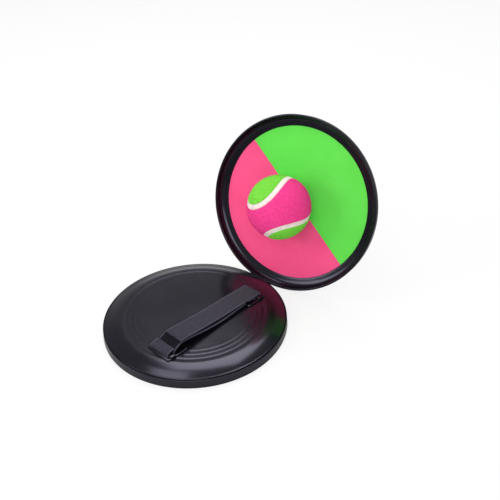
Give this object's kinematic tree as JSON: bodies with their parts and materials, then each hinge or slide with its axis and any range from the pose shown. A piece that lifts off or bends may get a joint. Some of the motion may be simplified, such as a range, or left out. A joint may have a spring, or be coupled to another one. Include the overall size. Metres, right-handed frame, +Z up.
{
  "type": "hook and loop catch set",
  "caption": "Dished hand discs with hook-and-loop catch faces and back straps, set out lying and leaning, with a felt-covered catch ball stuck to the leaning face.",
  "frame": {"origin": "on the surface that the set stands on, under the middle of its box", "axes": "+Z up; -Y is the side that the leaning disc faces; +X to the right seen from that side"},
  "size_m": [0.2284, 0.248, 0.1777],
  "materials": {
    "shell_plastic": "black moulded plastic with a satin sheen",
    "face_green": "short napped loop cloth, neon green",
    "face_pink": "short napped loop cloth, neon pink",
    "hook_tape": "black woven tape with moulded hooks",
    "loop_tape": "black woven tape with a loop pile",
    "ball_core": "plain moulded rubber",
    "ball_seam": "pale rubber seam, matt",
    "felt_pink": "fuzzy felt, neon pink",
    "felt_green": "fuzzy felt, neon green"
  },
  "bodies": {
    "root": {"lying_shell": "shell_plastic", "lying_face_green": "face_green", "lying_face_pink": "face_pink", "lying_hook_tape": "hook_tape", "lying_loop_tape": "loop_tape", "standing_shell": "shell_plastic", "standing_face_green": "face_green", "standing_face_pink": "face_pink", "standing_hook_tape": "hook_tape", "standing_loop_tape": "loop_tape", "ball_core": "ball_core", "ball_seam": "ball_seam", "ball_felt_pink": "felt_pink", "ball_felt_green": "felt_green"}
  },
  "joints": []
}
